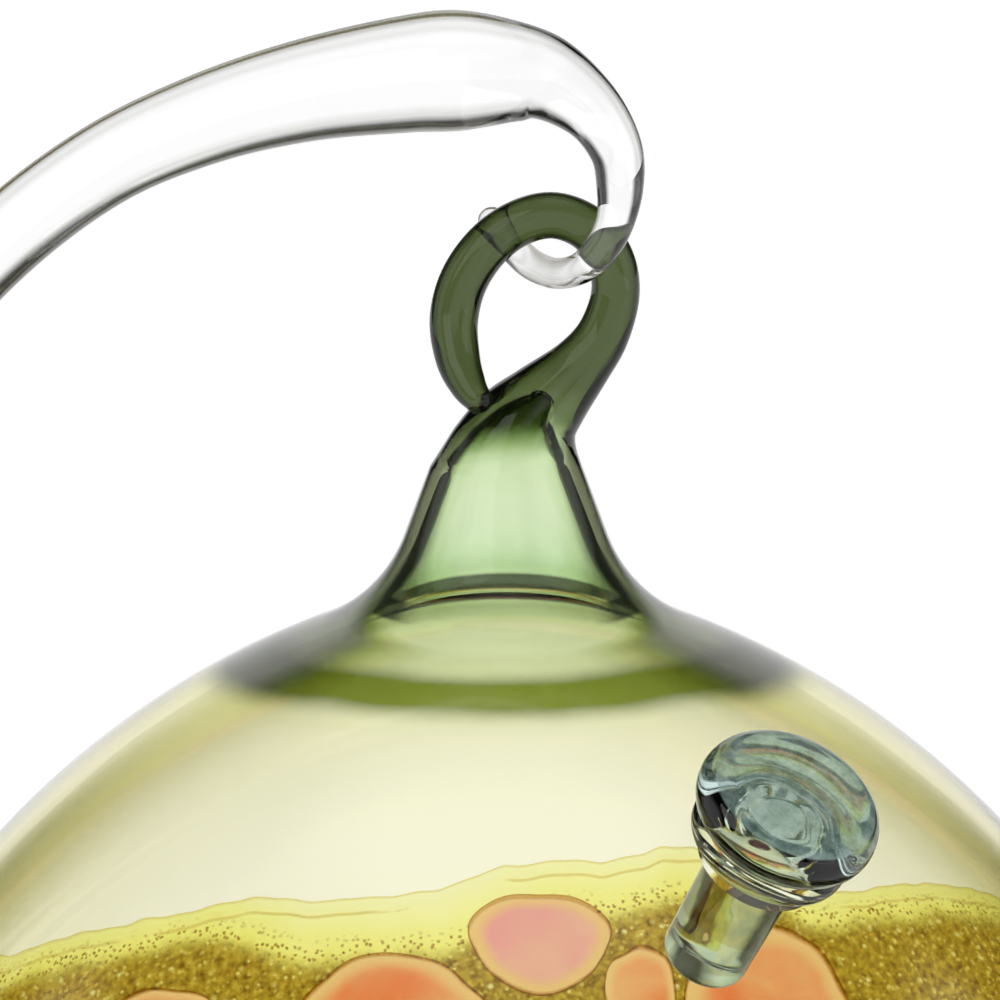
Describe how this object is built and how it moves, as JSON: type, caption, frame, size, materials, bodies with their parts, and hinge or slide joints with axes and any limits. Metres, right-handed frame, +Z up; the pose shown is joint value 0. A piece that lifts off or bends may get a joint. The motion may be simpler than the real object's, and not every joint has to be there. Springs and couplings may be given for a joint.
{
  "type": "galileo thermometer",
  "caption": "Hanging blown-glass globe thermometer with coloured floats and tags, hung by a green glass loop from a clear swan-neck stand.",
  "frame": {"origin": "centre of the round foot's flat underside, under the globe's axis", "axes": "+Z up along the globe's axis, -Y the front with the stopper, the swan-neck arm rises on the -X side"},
  "size_m": [0.1613, 0.14, 0.2261],
  "materials": {
    "clear_glass": "polished",
    "globe_glass": "polished, green at the neck fading to cream",
    "green_glass": "polished",
    "jade_glass": "polished",
    "gold_leaf": "speckled leaf under glass",
    "orange_glass": "mottled with dark rims",
    "pink_glass": "mottled with dark rims",
    "clear_liquid": "clear liquid",
    "float_glass": "thin blown glass",
    "tag_brass": "satin",
    "dye_liquid_22": "coloured liquid",
    "dye_liquid_18": "coloured liquid",
    "dye_liquid_26": "coloured liquid",
    "dye_liquid_20": "coloured liquid",
    "dye_liquid_24": "coloured liquid"
  },
  "bodies": {
    "stand": {"stand_base": "clear_glass", "stand_stem": "clear_glass", "stand_hook": "clear_glass"},
    "globe": {"globe_shell": "globe_glass", "hanging_loop": "green_glass", "port_collar": "globe_glass", "leaf_band": "gold_leaf", "patch_1": "pink_glass", "patch_2": "orange_glass", "patch_3": "orange_glass", "patch_4": "orange_glass", "patch_5": "orange_glass", "patch_6": "orange_glass", "patch_7": "orange_glass", "patch_8": "orange_glass", "liquid": "clear_liquid"},
    "stopper": {"stopper": "jade_glass"},
    "float_22": {"bulb_22": "float_glass", "dye_22": "dye_liquid_22"},
    "tag_22": {"ring_22": "tag_brass", "tag_22": "tag_brass"},
    "float_18": {"bulb_18": "float_glass", "dye_18": "dye_liquid_18"},
    "tag_18": {"ring_18": "tag_brass", "tag_18": "tag_brass"},
    "float_26": {"bulb_26": "float_glass", "dye_26": "dye_liquid_26"},
    "tag_26": {"ring_26": "tag_brass", "tag_26": "tag_brass"},
    "float_20": {"bulb_20": "float_glass", "dye_20": "dye_liquid_20"},
    "tag_20": {"ring_20": "tag_brass", "tag_20": "tag_brass"},
    "float_24": {"bulb_24": "float_glass", "dye_24": "dye_liquid_24"},
    "tag_24": {"ring_24": "tag_brass", "tag_24": "tag_brass"}
  },
  "joints": [
    {"name": "globe_swing", "type": "hinge", "parent": "stand", "child": "globe", "pos_m": [0.006, 0, 0.202], "axis": [1, 0, 0], "range_deg": [-8, 8]},
    {"name": "stopper_pull", "type": "slide", "parent": "globe", "child": "stopper", "axis": [0.3594, -0.5329, 0.766], "range_m": [0, 0.03]},
    {"name": "float_22_rise", "type": "slide", "parent": "globe", "child": "float_22", "axis": [0, 0, 1], "range_m": [-0.02, 0.018], "deforming": ["liquid"]},
    {"name": "tag_22_swing", "type": "hinge", "parent": "float_22", "child": "tag_22", "pos_m": [0, -0.025, 0.0719], "axis": [0, 1, 0], "range_deg": [-20, 20]},
    {"name": "float_18_rise", "type": "slide", "parent": "globe", "child": "float_18", "axis": [0, 0, 1], "range_m": [0, 0.038], "deforming": ["liquid"]},
    {"name": "tag_18_swing", "type": "hinge", "parent": "float_18", "child": "tag_18", "pos_m": [0.02378, -0.00773, 0.0519], "axis": [0, 1, 0], "range_deg": [-20, 20]},
    {"name": "float_26_rise", "type": "slide", "parent": "globe", "child": "float_26", "axis": [0, 0, 1], "range_m": [-0.038, 0], "deforming": ["liquid"]},
    {"name": "tag_26_swing", "type": "hinge", "parent": "float_26", "child": "tag_26", "pos_m": [0.01469, 0.02022, 0.0899], "axis": [0, 1, 0], "range_deg": [-20, 20]},
    {"name": "float_20_rise", "type": "slide", "parent": "globe", "child": "float_20", "axis": [0, 0, 1], "range_m": [0, 0.038], "deforming": ["liquid"]},
    {"name": "tag_20_swing", "type": "hinge", "parent": "float_20", "child": "tag_20", "pos_m": [-0.01469, 0.02022, 0.0519], "axis": [0, 1, 0], "range_deg": [-20, 20]},
    {"name": "float_24_rise", "type": "slide", "parent": "globe", "child": "float_24", "axis": [0, 0, 1], "range_m": [-0.038, 0], "deforming": ["liquid"]},
    {"name": "tag_24_swing", "type": "hinge", "parent": "float_24", "child": "tag_24", "pos_m": [-0.02378, -0.00773, 0.0899], "axis": [0, 1, 0], "range_deg": [-20, 20]}
  ]
}
